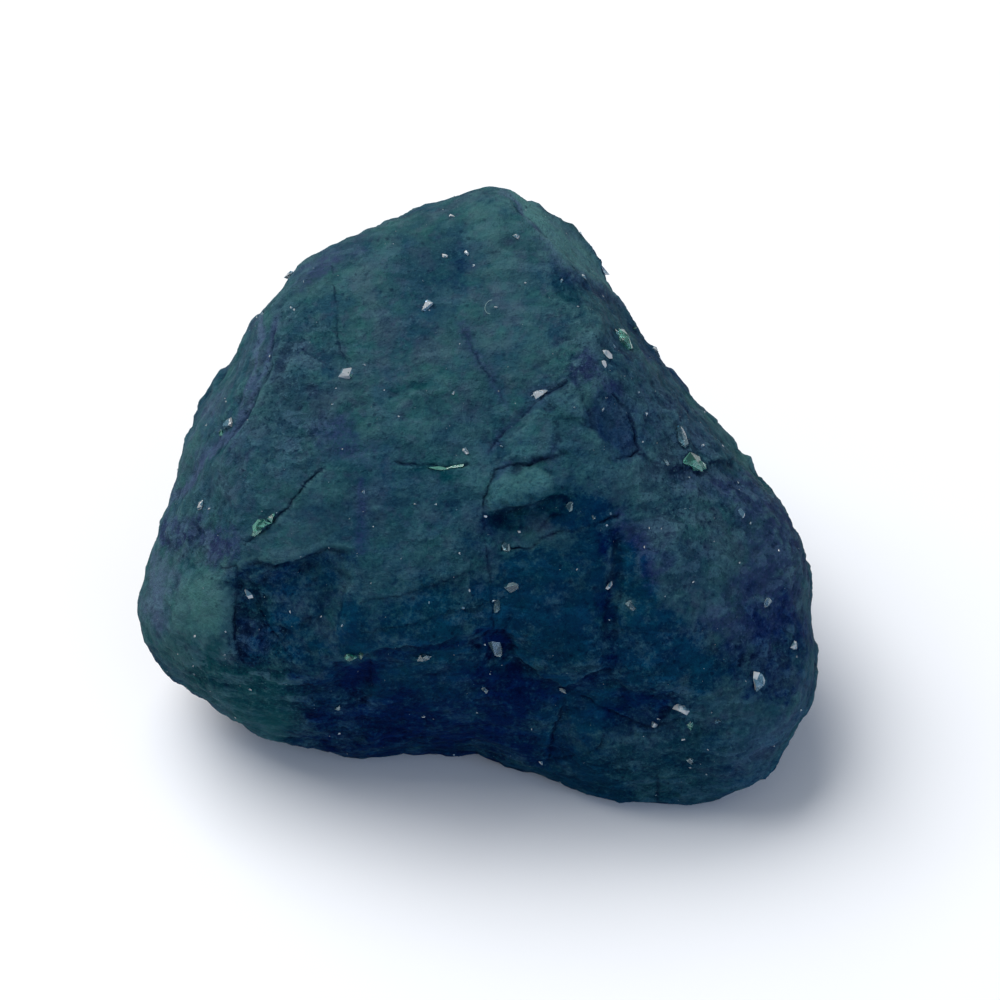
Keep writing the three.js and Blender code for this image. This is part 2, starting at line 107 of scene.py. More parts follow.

# Zones of the front, outlined on the photograph in its pixels: the tints of each, how rough it is next to
# the rest, how soft its edge is in pixels, its outline, and how far it stands out in millimetres.
# Dark tints in pockets, hollows, creases, feet and undersides are painted shade, and pale and slate on lit
# faces, rims and ridges are painted light and sheen.
Zone = namedtuple("Zone", "tints rough soft edge lift", defaults=[0.0])
ZONES = {
    "corner_facet": Zone({"pale": 0.5}, 0.6, 6, [
        (190, 571), (202, 566), (230, 576), (233, 604), (231, 624), (223, 638), (204, 648), (175, 638),
        (170, 600)], 0.1),
    "corner_green": Zone({"green": 1.0}, 0.3, 7, [
        (199, 646), (231, 626), (233, 652), (217, 663), (202, 656)]),
    # Painted sheen: lighter slate along the left rim
    "left_rim": Zone({"slate": 0.8}, 0.6, 10, [
        (156, 549), (170, 549), (175, 578), (168, 614), (163, 643), (146, 633), (138, 614), (142, 590)]),
    "left_stain": Zone({"purple": 0.9}, 1.6, 12, [
        (163, 520), (192, 515), (223, 524), (236, 545), (233, 562), (221, 568), (192, 549), (158, 542)]),
    # Painted shade: the flake below its ledge is darker
    "flake": Zone({"deep_tone_and_shade": 0.6}, 1.4, 7, [
        (233, 564), (254, 559), (276, 564), (298, 559), (324, 547), (358, 549), (353, 571), (343, 595),
        (338, 626), (326, 643), (302, 669), (288, 662), (254, 667), (240, 662), (233, 648)]),
    "flake_lump": Zone({"slate": 0.4}, 1.3, 6, [
        (259, 585), (293, 565), (312, 571), (314, 595), (312, 612), (293, 624), (274, 628),
        (264, 614)], 0.35),
    "flake_shade": Zone({"navy_tone_and_shade": 0.55}, 1.2, 6, [
        (269, 580), (298, 559), (336, 548), (358, 552), (350, 566), (324, 561), (312, 568), (293, 564)]),
    # Painted shade along the flake's left edge
    "flake_left": Zone({"navy_tone_and_shade": 0.4}, 1.5, 6, [
        (233, 566), (246, 564), (250, 600), (246, 650), (236, 655)]),
    "flake_purple": Zone({"purple": 0.6}, 1.7, 8, [
        (236, 619), (264, 624), (274, 638), (254, 662), (236, 659)]),
    "lower_left": Zone({"green": 0.9}, 1.2, 14, [
        (204, 655), (245, 669), (288, 672), (324, 674), (319, 700), (312, 722), (283, 736), (254, 732),
        (192, 681)]),
    "lower_left_light": Zone({"pale": 0.5}, 0.4, 8, [(254, 712), (285, 708), (296, 728), (262, 738)]),
    # Painted shade in the pocket, under the stone and in the crease above the underside
    "left_pocket": Zone({"navy_tone_and_shade": 0.95}, 1.5, 12, [
        (336, 667), (370, 657), (372, 681), (360, 705), (341, 700), (324, 696)], -0.1),
    "underside": Zone({"navy_tone_and_shade": 0.8}, 1.8, 18, [
        (300, 705), (360, 695), (430, 700), (456, 690), (480, 660), (520, 655), (566, 700), (547, 760),
        (480, 758), (400, 756), (340, 756), (310, 738)]),
    "underside_upper": Zone({"deep_tone_and_shade": 0.8}, 1.6, 12, [
        (374, 657), (456, 640), (482, 640), (470, 670), (456, 692), (400, 695), (376, 684)]),
    "crease": Zone({"navy_tone_and_shade": 0.6}, 1.2, 4, [
        (360, 658), (408, 651), (440, 650), (484, 636), (486, 646), (442, 660), (400, 664), (362, 670)]),
    "underside_left": Zone({"navy_tone_and_shade": 0.6}, 1.4, 14, [
        (290, 668), (330, 668), (345, 700), (330, 742), (300, 742)]),
    "blades": Zone({"slate": 0.3}, 2.0, 8, [(527, 686), (566, 700), (556, 734), (530, 735)], 0.1),
    # Painted shade on the steep wedge, in the pit and at the foot below it, and in the valley and on the
    # lower right beside it
    "wedge": Zone({"deep_tone_and_shade": 0.85, "green": 0.3}, 1.1, 9, [
        (508, 552), (542, 542), (600, 527), (614, 532), (612, 566), (604, 604), (604, 638), (583, 662),
        (556, 674), (540, 662), (518, 648), (496, 626), (499, 590)]),
    "boss_left": Zone({"navy_tone_and_shade": 0.4}, 1.2, 5, [
        (478, 508), (490, 500), (492, 530), (490, 565), (480, 560), (477, 535)]),
    "wedge_pit": Zone({"navy_tone_and_shade": 0.9}, 1.0, 6, [
        (484, 632), (505, 628), (520, 648), (512, 662), (492, 662), (478, 650)], -0.35),
    "wedge_foot": Zone({"navy_tone_and_shade": 0.8}, 1.7, 10, [
        (515, 655), (540, 668), (560, 682), (590, 668), (618, 660), (600, 690), (566, 702), (540, 690)]),
    "valley": Zone({"navy_tone_and_shade": 0.9}, 1.2, 8, [
        (604, 540), (614, 535), (613, 580), (612, 640), (618, 664), (602, 662), (601, 600)]),
    "valley_green": Zone({"deep_tone_and_shade": 1.0, "green": 0.5}, 1.2, 7, [
        (610, 528), (638, 545), (654, 580), (662, 606), (626, 610), (610, 585)]),
    "valley_right": Zone({"deep_tone_and_shade": 0.95}, 1.0, 18, [
        (614, 600), (660, 600), (710, 640), (740, 655), (720, 700), (686, 690), (620, 690)]),
    "band": Zone({"purple": 0.85, "deep_tone_and_shade": 0.5}, 1.3, 8, [
        (619, 513), (643, 530), (662, 554), (657, 583), (648, 585), (638, 554), (620, 530)]),
    "right_stain": Zone({"purple": 0.65, "slate": 0.25}, 1.9, 14, [
        (660, 466), (710, 470), (753, 470), (789, 506), (806, 549), (813, 595), (808, 624), (770, 652),
        (744, 652), (710, 638), (700, 614), (727, 590), (746, 566), (751, 530), (729, 506), (690, 492)]),
    # Painted shade on the lower right, in a hollow and in the pocket above the lobe
    "right_dark": Zone({"navy_tone_and_shade": 0.65}, 1.6, 16, [
        (735, 600), (800, 600), (812, 640), (790, 700), (745, 690)]),
    "grain_hollow": Zone({"navy_tone_and_shade": 0.7}, 1.4, 8, [
        (744, 660), (758, 655), (772, 662), (766, 676), (751, 679)], -0.25),
    "lobe_pocket": Zone({"navy_tone_and_shade": 0.7}, 1.4, 10, [
        (595, 700), (624, 693), (662, 700), (674, 710), (657, 729), (624, 724), (604, 712)]),
    "lower_lobe": Zone({"green": 0.6, "deep_tone_and_shade": 0.1}, 1.6, 14, [
        (614, 727), (652, 732), (710, 722), (746, 734), (734, 770), (686, 812), (619, 812), (571, 784),
        (604, 746)]),
    "lobe_rim": Zone({"slate": 0.5}, 1.4, 14, [
        (735, 740), (800, 690), (818, 660), (815, 700), (770, 790), (720, 806)]),
    # Painted light on the lit face below the peak, and painted sheen on the facet along the top ridge
    "crown_light": Zone({"pale": 0.5}, 0.7, 14, [
        (464, 200), (500, 193), (520, 210), (521, 232), (505, 248), (485, 254), (466, 240)]),
    "top_facet": Zone({"pale": 0.85, "slate": 0.9}, 0.3, 5, [
        (510, 190), (545, 208), (592, 246), (624, 290), (629, 306), (608, 290), (570, 259), (548, 237),
        (533, 220)]),
    "ridge_stain": Zone({"purple": 0.5}, 1.2, 6, [
        (519, 232), (546, 238), (574, 266), (608, 290), (622, 306), (600, 305), (570, 280), (550, 258)]),
    # Painted shade in a hollow
    "ridge_hollow": Zone({"deep_tone_and_shade": 0.5, "green": 0.5}, 0.8, 5, [
        (553, 268), (570, 275), (584, 292), (584, 312), (566, 300), (556, 285)], -0.2),
    "shoulder_stain": Zone({"purple": 0.85}, 1.4, 6, [
        (582, 346), (594, 352), (608, 374), (627, 393), (622, 400), (603, 388), (584, 388),
        (572, 376)], -0.1),
    "edge_stain": Zone({"purple": 0.5, "deep_tone_and_shade": 0.4}, 1.4, 6, [
        (625, 310), (640, 325), (668, 355), (668, 364), (640, 358)]),
    "shoulder": Zone({"slate": 0.4, "navy_tone_and_shade": 0.15}, 1.2, 16, [
        (612, 345), (650, 360), (700, 410), (735, 450), (700, 455), (650, 440), (630, 400)]),
    # Painted shade in the pocket
    "pocket": Zone({"navy_tone_and_shade": 0.45, "purple": 0.4}, 2.3, 12, [
        (586, 404), (603, 390), (618, 396), (630, 410), (636, 430), (640, 448), (630, 457),
        (600, 440)], -0.12),
    "block": Zone({"slate": 0.3}, 0.6, 4, [
        (545, 402), (574, 387), (589, 400), (591, 413), (566, 417)], 0.3),
    "boss_upper": Zone({"pale": 0.25}, 0.7, 5, [
        (500, 441), (536, 412), (555, 418), (560, 441), (555, 455), (531, 461), (503, 466)], 0.28),
    # Painted highlight on the top of the boss
    "boss": Zone({"pale": 0.75}, 0.8, 6, [
        (500, 477), (536, 468), (555, 482), (553, 493), (524, 505), (489, 511), (490, 492)], 0.35),
    # Painted shade at the foot of the boss and below it
    "boss_foot": Zone({"green": 1.0, "deep_tone_and_shade": 0.4}, 0.6, 6, [
        (489, 514), (524, 507), (553, 495), (574, 499), (560, 512), (548, 517), (512, 527),
        (492, 530)], -0.1),
    "boss_shade": Zone({"deep_tone_and_shade": 0.9, "navy_tone_and_shade": 0.3}, 1.0, 7, [
        (562, 506), (590, 498), (614, 504), (613, 524), (590, 530), (545, 536)]),
    "slit_shade": Zone({"deep_tone_and_shade": 0.3, "green": 0.9}, 0.8, 5, [
        (398, 459), (430, 462), (464, 468), (464, 476), (446, 480), (424, 474), (400, 468)]),
    "slit_end": Zone({"pale": 0.5}, 0.6, 8, [(462, 453), (490, 452), (498, 478), (488, 490), (466, 485)]),
    # Painted sheen along the strip on the left, over purple tone
    "strip": Zone({"slate": 0.45, "purple": 0.4}, 1.2, 9, [
        (276, 312), (284, 330), (268, 372), (254, 405), (240, 432), (211, 466), (190, 500), (178, 490),
        (235, 400)]),
    "strip_hollow": Zone({"pale": 0.2}, 0.7, 8, [
        (255, 330), (248, 360), (236, 398), (220, 430), (205, 440), (215, 405), (232, 365)], -0.15),
    # Painted sheen along the left edge
    "left_edge": Zone({"slate": 0.65}, 1.3, 8, [
        (228, 368), (215, 400), (192, 445), (172, 480), (165, 515), (160, 515), (170, 470), (195, 415)]),
    "upper_rim": Zone({"purple": 0.6, "slate": 0.4}, 1.2, 12, [
        (290, 275), (324, 252), (360, 236), (366, 246), (330, 268), (300, 290)]),
    "crown_green": Zone({"green": 0.8}, 1.2, 6, [
        (384, 399), (386, 389), (412, 382), (420, 370), (438, 370), (441, 390), (414, 396)]),
    "top_blue": Zone({"navy_tone_and_shade": 0.5}, 1.0, 6, [(452, 236), (463, 231), (471, 262), (459, 271)]),
    "crown_blue": Zone({"deep_tone_and_shade": 0.35}, 0.8, 20, [
        (395, 235), (440, 225), (455, 260), (430, 330), (380, 290)]),
    "crown_streaks": Zone({"pale": 0.35}, 0.6, 14, [(476, 335), (548, 322), (552, 350), (500, 367)]),
    "crown_stain": Zone({"purple": 0.5}, 1.0, 8, [(466, 358), (495, 362), (500, 385), (478, 380)]),
    "middle_stain": Zone({"purple": 0.6}, 1.3, 16, [
        (300, 420), (340, 415), (374, 446), (372, 466), (340, 470), (310, 450)]),
    # Painted shade on the foot and the lower parts of the middle
    "middle_foot": Zone({"deep_tone_and_shade": 0.5, "green": 0.35}, 1.1, 14, [
        (345, 580), (400, 572), (480, 545), (490, 600), (485, 636), (440, 648), (384, 652), (355, 650)]),
    "middle_shade": Zone({"deep_tone_and_shade": 0.5}, 0.9, 16, [
        (440, 480), (483, 490), (484, 560), (460, 570), (440, 540)]),
    "middle": Zone({"deep_tone_and_shade": 0.35}, 1.15, 34, [
        (330, 430), (440, 400), (570, 390), (640, 470), (620, 560), (480, 640), (350, 650), (300, 560)]),
    "left_flank": Zone({"deep_tone_and_shade": 0.2, "purple": 0.25}, 1.4, 24, [
        (285, 300), (335, 340), (320, 420), (300, 490), (250, 550), (175, 540), (200, 460), (250, 360)]),
    "right_side": Zone({"slate": 0.2, "deep_tone_and_shade": 0.15}, 1.35, 30, [
        (575, 330), (640, 345), (740, 465), (790, 560), (800, 690), (720, 790), (600, 780), (600, 620),
        (570, 450)]),
    # Painted shade on the stone's foot
    "foot": Zone({"deep_tone_and_shade": 0.85}, 1.2, 26, [
        (300, 640), (345, 590), (470, 585), (600, 580), (680, 610), (700, 680), (620, 715), (560, 750),
        (320, 740)]),
}

# Ledges on the front: how far the stone drops on the right of the line, as it is walked, the reach within
# which it rises back, both in millimetres, and the course on the photograph.
LEDGES = {
    "flake_top": (0.42, 2.6, [(236, 566), (254, 560), (276, 565), (298, 560), (324, 548), (358, 550)]),
    "flake_left": (0.3, 1.5, [(241, 664), (235, 640), (234, 600), (236, 566)]),
    "flake_right": (0.18, 1.0, [(353, 571), (343, 595), (338, 626), (326, 643)]),
    "boss_foot": (0.3, 1.4, [(487, 512), (524, 506), (553, 494), (574, 498)]),
    "boss_upper": (0.3, 1.2, [(503, 467), (531, 462), (555, 456), (562, 446)]),
    "wedge_foot": (0.4, 1.7, [(506, 652), (535, 672), (562, 690), (590, 676), (616, 662)]),
    "wedge_left": (0.12, 1.2, [(494, 630), (487, 555), (484, 505)]),
    "valley_left": (0.22, 0.9, [(604, 650), (604, 604), (612, 566), (614, 532)]),
    "valley_right": (0.22, 0.9, [(622, 518), (624, 580), (617, 645)]),
    "lobe_pocket_top": (0.18, 1.1, [(595, 698), (624, 692), (662, 699)]),
    "lobe_pocket_foot": (0.2, 1.1, [(678, 710), (657, 729), (624, 725), (598, 710)]),
    "left_pocket_top": (0.2, 1.8, [(330, 664), (352, 660), (370, 656)]),
    "left_pocket_right": (0.14, 1.3, [(372, 660), (372, 690), (362, 708)]),
    "pocket_left": (0.18, 1.3, [(592, 434), (587, 404), (603, 390), (620, 398)]),
    "pocket_right": (0.2, 1.0, [(618, 396), (630, 410), (636, 430), (640, 448)]),
    "strip": (0.3, 2.5, [(276, 312), (268, 372), (254, 405), (211, 466)]),
    "top_facet": (0.3, 2.0, [(627, 304), (594, 273), (548, 237), (507, 196)]),
    "underside_step": (0.3, 1.5, [(547, 758), (556, 729), (566, 703)]),
    "middle_foot": (0.35, 2.0, [(360, 655), (408, 649), (440, 648), (456, 639), (484, 634)]),
    "middle_upper": (0.12, 1.0, [(362, 604), (398, 596), (432, 585), (470, 572)]),
    "middle_lower": (0.14, 1.0, [(360, 634), (400, 628), (440, 617), (482, 604)]),
    "crown_foot": (0.18, 1.6, [(567, 379), (536, 403), (502, 432), (488, 451)]),
    "crown_step": (0.12, 1.2, [(438, 384), (410, 392), (384, 397), (346, 412)]),
    "shoulder": (0.25, 1.4, [(640, 452), (665, 465), (700, 468), (721, 461), (745, 458)]),
}

# Lines of colour on the front: the tint, its strength, half its width in pixels and its course.
VEINS = {
    "middle_seam": ("purple", 0.6, 5, [(362, 478), (362, 510), (361, 547)]),
    "slit_light": ("pale", 1.0, 2.4, [(428, 468), (446, 469), (463, 465)]),
    "slit_green": ("green", 0.9, 4, [(396, 464), (420, 467), (432, 469)]),
    # Painted highlight along the top ridge
    "ridge_light": ("slate", 1.0, 3, [(500, 195), (519, 206), (534, 221), (548, 237), (570, 258)]),
    "ridge_lower": ("slate", 0.8, 2.5, [(594, 273), (618, 297), (627, 306)]),
    "crown_foot": ("purple", 0.5, 5, [(567, 379), (536, 403), (502, 432), (488, 451)]),
    "boss_top": ("purple", 0.5, 5, [(560, 445), (553, 455), (531, 463), (503, 467), (497, 476)]),
    "crown": ("purple", 0.5, 5, [(462, 326), (471, 345), (488, 372), (504, 400), (510, 411)]),
    # Painted sheen along the strip on the left
    "strip_line": ("slate", 1.0, 3, [
        (264, 304), (254, 352), (245, 398), (221, 446), (192, 482), (175, 494)]),
    "strip_inner": ("slate", 0.9, 3, [(277, 320), (264, 362), (250, 405), (230, 440)]),
}

# Cracks on the front: depth in millimetres, and the course on the photograph.
CRACKS = {
    "left": (0.24, [(322, 468), (308, 482), (297, 494), (286, 508), (273, 518), (262, 530), (244, 545)]),
    "slit": (0.24, [(396, 462), (420, 464), (445, 466), (466, 463)]),
    "boss_top": (0.2, [
        (575, 447), (553, 456), (531, 463), (507, 465), (497, 470), (488, 485), (483, 505)]),
    "boss_side": (0.1, [(483, 505), (484, 530), (487, 555), (490, 590), (494, 630)]),
    "crown_foot": (0.18, [(567, 379), (553, 388), (536, 403), (519, 420), (502, 432), (488, 451)]),
    "wedge_top": (0.28, [
        (503, 549), (532, 548), (542, 537), (556, 532), (576, 530), (600, 523), (618, 516)]),
    "wedge_upper": (0.14, [(535, 530), (549, 518), (571, 514)]),
    "upper_left": (0.16, [(332, 266), (334, 295), (337, 314), (335, 333), (341, 348), (348, 362)]),
    "upper_branch": (0.07, [(302, 348), (312, 355), (331, 369)]),
    "crown": (0.12, [(462, 326), (471, 345), (478, 362), (488, 372), (498, 384), (504, 400)]),
    "top": (0.08, [(486, 254), (500, 252), (510, 240)]),
    "pocket": (0.26, [(616, 393), (629, 410), (634, 429), (639, 448), (632, 456), (617, 456)]),
    "block_foot": (0.16, [(546, 410), (550, 417), (572, 418), (590, 428)]),
    "shoulder": (0.2, [(640, 452), (665, 465), (700, 468), (721, 461), (740, 457), (759, 477)]),
    "left_short": (0.1, [(305, 403), (293, 415), (278, 424)]),
    "left_seam": (0.08, [(317, 415), (326, 429), (331, 453)]),
    "corner": (0.22, [(221, 568), (234, 566), (235, 600), (235, 640), (241, 663)]),
    "flake_line": (0.1, [(254, 604), (274, 633), (298, 669)]),
    "lobe": (0.1, [(650, 734), (657, 758), (657, 801)]),
    "lobe_left": (0.22, [(547, 760), (580, 758), (602, 746), (604, 734)]),
    "lobe_top": (0.22, [(580, 700), (620, 718), (652, 728), (684, 722)]),
    "underside": (0.14, [(418, 734), (450, 728), (480, 724), (510, 730)]),
    "step": (0.24, [(566, 703), (556, 729), (547, 758)]),
    "middle_upper": (0.08, [(362, 604), (398, 596), (432, 585), (470, 572)]),
    "middle_lower": (0.08, [(360, 634), (400, 628), (440, 617), (482, 604)]),
}

# Chips of crystal in the skin: middle, length and width in the photograph's pixels, and turn (clockwise).
Chip = namedtuple("Chip", "x y length width turn")
BRIGHT_CHIPS = [Chip(*row) for row in (
    (757, 681, 20, 15, 70), (682, 708, 18, 13, -30), (346, 374, 16, 11, -50), (427, 306, 13, 9, -50),
    (229, 425, 15, 11, -40), (539, 395, 11, 9, 30), (201, 505, 11, 8, -30), (741, 513, 10, 6, 60),
    (793, 646, 10, 8, 80), (249, 594, 11, 6, 70), (607, 355, 13, 8, 30), (604, 364, 8, 5, 60),
    (609, 585, 9, 6, -60), (655, 350, 8, 6, 30), (466, 450, 8, 6, 60), (654, 724, 8, 6, 60),
    (539, 393, 18, 4, -20), (452, 216, 7, 5, 0), (467, 253, 6, 5, 30), (445, 256, 6, 4, 30),
    (516, 237, 6, 5, 0), (562, 281, 7, 3, -60), (584, 277, 6, 3, 40), (540, 762, 7, 5, 60),
)]
CLEAR_CHIPS = [Chip(*row) for row in (
    (495, 648, 20, 15, 60), (512, 588, 19, 14, 60), (632, 605, 16, 8, 40), (690, 760, 14, 6, 75),
    (497, 606, 14, 7, -70), (680, 436, 22, 12, 60), (666, 462, 8, 5, 60), (767, 602, 11, 7, -40),
    (424, 657, 15, 9, -40), (507, 547, 11, 8, 60), (717, 722, 9, 6, 0), (338, 708, 10, 4, -70),
    (570, 507, 10, 7, -60), (593, 517, 7, 4, 0), (563, 690, 9, 5, 60), (485, 690, 8, 5, 60),
)]
GREEN_CHIPS = [Chip(*row) for row in (
    (623, 340, 22, 18, 60), (617, 333, 9, 8, 0), (634, 329, 7, 5, 0), (628, 345, 15, 11, 20),
    (691, 462, 24, 17, 20), (697, 466, 18, 12, -20), (264, 524, 16, 10, -40), (256, 532, 11, 7, -20),
    (272, 518, 10, 7, -40), (259, 527, 16, 11, -50), (352, 657, 14, 10, 10), (361, 655, 9, 8, 40),
    (222, 433, 8, 6, 60), (346, 376, 11, 8, 20), (690, 726, 12, 7, -40), (437, 468, 20, 5, 4),
    (455, 467, 20, 5, -8),
)]

SPECKS = 560  # tiny clear chips all round the stone
SPECK_SIZE = (0.05, 0.26)  # millimetres
BACK_CHIPS = 34  # larger ones on the sides that the photograph does not show
BACK_CHIP_SIZE = (0.35, 1.3)  # millimetres
CHIP_CORNERS = 11
CHIP_SIZE = 0.64  # half a chip's length, because its corners lie a little inside
CHIP_THICKNESS = 0.75  # of its width
CHIP_RISE = 0.12  # of its thickness
CRYSTAL_IOR = 1.57

# Kinds of chips: colours of the clear and the frosted faces as on a screen, and how much light goes through
Crystal = namedtuple("Crystal", "chips dark light clearness")
CRYSTALS = {
    "bright_chips": Crystal(BRIGHT_CHIPS, (110, 160, 182), (250, 254, 255), 0.6),
    "clear_chips": Crystal(CLEAR_CHIPS, (52, 120, 142), (206, 240, 246), 0.8),
    "green_chips": Crystal(GREEN_CHIPS, (20, 112, 104), (150, 236, 214), 0.72),
}
LINT = [(492, 300), (489, 301), (486, 304), (485, 307), (485, 310), (487, 313), (490, 314)]  # a curled fibre
LINT_RADIUS = 0.014  # millimetres
LINT_SIDES = 6

# Colours of the stone as on a screen, 0 to 255
TONES = {
    "blue": (35, 70, 83),
    "teal": (42, 79, 84),
    "blue_cloud": (26, 64, 90),
    "green_cloud": (38, 90, 88),
    "slate_cloud": (62, 74, 94),
    "purple_cloud": (62, 70, 92),
    "light_facet": (64, 98, 102),
    "dark_facet": (18, 50, 72),
    "light_patch": (68, 100, 103),
    "dark_patch": (16, 44, 66),
    "fibre": (72, 100, 105),
    # Slate and pale are lighter tone, and also painted sheen and painted highlights where zones and lines put
    # them
    "slate": (76, 92, 120),
    "pale": (72, 118, 114),
    "green": (2, 62, 68),
    "purple": (44, 46, 90),
    # Painted shade for hollows, and painted light for ridges
    "hollow": (8, 28, 50),
    "ridge": (72, 110, 114),
    "light_blade": (92, 124, 140),
    "dark_blade": (8, 26, 50),
    # Painted shade for small pits
    "pit": (6, 24, 48),
    # Painted shade for cracks
    "crack": (8, 20, 46),
    "dark_grain": (4, 24, 54),
    "light_grain": (84, 124, 131),
}
DARK_TINTS = {"deep_tone_and_shade": (0.05, 0.37, 0.64, 1), "navy_tone_and_shade": (0.06, 0.28, 0.72, 1)}  # what painted shade and darker tone leave of the colour, as they multiply it
GRAIN_TURN = (0, 20, 35)  # degrees by which fibres and blades are turned
FIBRE_STRETCH = (0.5, 2.6, 2.6)  # how much denser they lie along each way
BLADE_STRETCH = (0.55, 1.5, 1.5)

# Stage: lights with their places and sizes in metres and their power in watts
Light = namedtuple("Light", "place size power colour")
LIGHTS = {
    "key": Light((-0.36, 0.28, 0.78), 0.7, 9.2, (1, 1, 1)),
    "fill": Light((0.5, -0.6, 0.3), 0.6, 2.2, (0.34, 0.58, 1)),
}
SKY = (0.94, 0.975, 1, 1)
SKY_STRENGTH = 0.32
FLOOR_REACH = 2.0
FLOOR_COLOUR = (0.9, 0.9, 0.91, 1)


# Noise

def cell_random(cells, seed):
    """One number from 0 to 1 for each whole-number cell (x, y, z)."""
    x, y, z = (cells[..., k].astype(np.int64).astype(np.uint32) for k in range(3))
    value = x * np.uint32(374761393) + y * np.uint32(668265263) + z * np.uint32(2147483647)
    value = value + np.uint32(seed) * np.uint32(1274126177)
    value = (value ^ (value >> np.uint32(13))) * np.uint32(1274126177)
    value = (value ^ (value >> np.uint32(16))) * np.uint32(2246822519)
    return (value ^ (value >> np.uint32(15))).astype(float) / 2**32


def value_noise(points, seed):
    """Smooth noise from -1 to 1 with a wave of one unit."""
    low = np.floor(points)
    part = points - low
    blend = part * part * part * (part * (part * 6 - 15) + 10)
    total = np.zeros(len(points))
    for corner in np.ndindex(2, 2, 2):
        step = np.array(corner)
        share = np.prod(np.where(step, blend, 1 - blend), axis=1)
        total += share * cell_random(low + step, seed)
    return total * 2 - 1


def fractal(points, wave, seed, octaves=4, fall=0.5):
    """Smooth noise with ever finer waves in it."""
    total = np.zeros(len(points))
    height = 1.0
    for octave in range(octaves):
        total += height * value_noise(points * (2**octave / wave) + 17.3 * octave, seed + octave)
        height *= fall
    return total


def scoops(points, size, seed):
    """Shallow hollows that meet in ridges, as on broken crystal, about -0.5 to 0.5."""
    grid = points / size
    low = np.floor(grid)
    height = np.full(len(points), 9.0)
    for corner in np.ndindex(3, 3, 3):
        cell = low + np.array(corner) - 1
        middle = cell + np.stack([cell_random(cell, seed + k) for k in range(3)], axis=1)
        tilt = np.stack([cell_random(cell, seed + 3 + k) for k in range(3)], axis=1) * 2 - 1
        away = grid - middle
        bowl = 0.8 * np.sum(away * away, axis=1) + 0.7 * np.sum(away * tilt, axis=1)
        height = np.minimum(height, bowl + 0.4 * cell_random(cell, seed + 6))
    return height - 0.3


def along_grain(points):
    """Places drawn together along the stone's grain, so that noise there is drawn out along it."""
    return points - np.outer(points @ GRAIN * (1 - GRAIN_SQUEEZE), GRAIN)


def smoothstep(low, high, value):
    t = np.clip((value - low) / (high - low), 0, 1)
    return t * t * (3 - 2 * t)


# Camera

def camera_axes():
    height = math.radians(CAMERA_HEIGHT_DEG)
    right = np.array((1.0, 0.0, 0.0))
    up = np.array((0.0, math.sin(height), math.cos(height)))
    back = np.array((0.0, -math.cos(height), math.sin(height)))
    return right, up, back


class Picture:
    """Goes from places in the photograph, in pixels, to the stone and back."""

    def __init__(self, place, scale, shift_x, shift_y):
        self.place = place
        self.scale = scale
        self.middle = np.array((IMAGE / 2 - shift_x * IMAGE, IMAGE / 2 + shift_y * IMAGE))
        self.right, self.up, self.back = camera_axes()
        self.mm_per_px = CAMERA_DISTANCE / scale / MM

    def pixels(self, points):
        away = points - self.place
        depth = -(away @ self.back)
        x = self.middle[0] + away @ self.right / depth * self.scale
        y = self.middle[1] - away @ self.up / depth * self.scale
        return np.stack([x, y], axis=1)

    def hit(self, tree, x, y):
        """The place and the normal of the skin under a pixel."""
        across = self.right * (x - self.middle[0]) - self.up * (y - self.middle[1])
        direction = across / self.scale - self.back
        place, normal, _, _ = tree.ray_cast(Vector(self.place), Vector(direction))
        return place, normal


def make_camera(points):
    """Framed so that the points fill the stone's box in the photograph."""
    right, up, back = camera_axes()
    place = (points.min(0) + points.max(0)) / 2 + back * CAMERA_DISTANCE
    away = points - place
    depth = -(away @ back)
    x = away @ right / depth
    y = away @ up / depth
    left, top, far_right, bottom = STONE_IN_PICTURE
    scale = (far_right - left) / (x.max() - x.min())
    data = bpy.data.cameras.new("camera")
    data.sensor_width = SENSOR
    data.lens = scale * SENSOR / IMAGE
    data.clip_end = 10
    data.shift_x = ((x.max() + x.min()) / 2 * scale - ((left + far_right) / 2 - IMAGE / 2)) / IMAGE
    data.shift_y = ((y.max() + y.min()) / 2 * scale + ((top + bottom) / 2 - IMAGE / 2)) / IMAGE
    camera = bpy.data.objects.new("camera", data)
    turn = Matrix((right, up, back)).transposed()
    camera.matrix_world = Matrix.Translation(place) @ turn.to_4x4()
    bpy.context.scene.collection.objects.link(camera)
    bpy.context.scene.camera = camera
    return Picture(place, scale, data.shift_x, data.shift_y)


# Mesh helpers

def read(items, name, width, kind=float):
    """One property of a mesh's points, edges or faces, with a row for each."""
    values = np.empty(len(items) * width, dtype=kind)
    items.foreach_get(name, values)
    return values.reshape(-1, width)


def mesh_points(mesh):
    return read(mesh.vertices, "co", 3)


def mesh_normals(mesh):
    return read(mesh.vertices, "normal", 3)


def set_points(mesh, points):
    mesh.vertices.foreach_set("co", points.ravel())
    mesh.update()


def mesh_edges(mesh):
    return read(mesh.edges, "vertices", 2, np.int32)


def neighbour_mean(values, edges):
    a, b = edges[:, 0], edges[:, 1]
    count = len(values)
    total = np.zeros_like(values)
    for k in range(values.shape[1]):
        total[:, k] = np.bincount(a, values[b, k], count) + np.bincount(b, values[a, k], count)
    number = np.bincount(a, minlength=count) + np.bincount(b, minlength=count)
    return total / number[:, None]


def smooth(points, edges, rounds, mask=None):
    share = 0.5 if mask is None else 0.5 * mask[:, None]
    for _ in range(rounds):
        points = points + share * (neighbour_mean(points, edges) - points)
    return points


def new_object(name, mesh):
    piece = bpy.data.objects.new(name, mesh)
    bpy.context.scene.collection.objects.link(piece)
    return piece


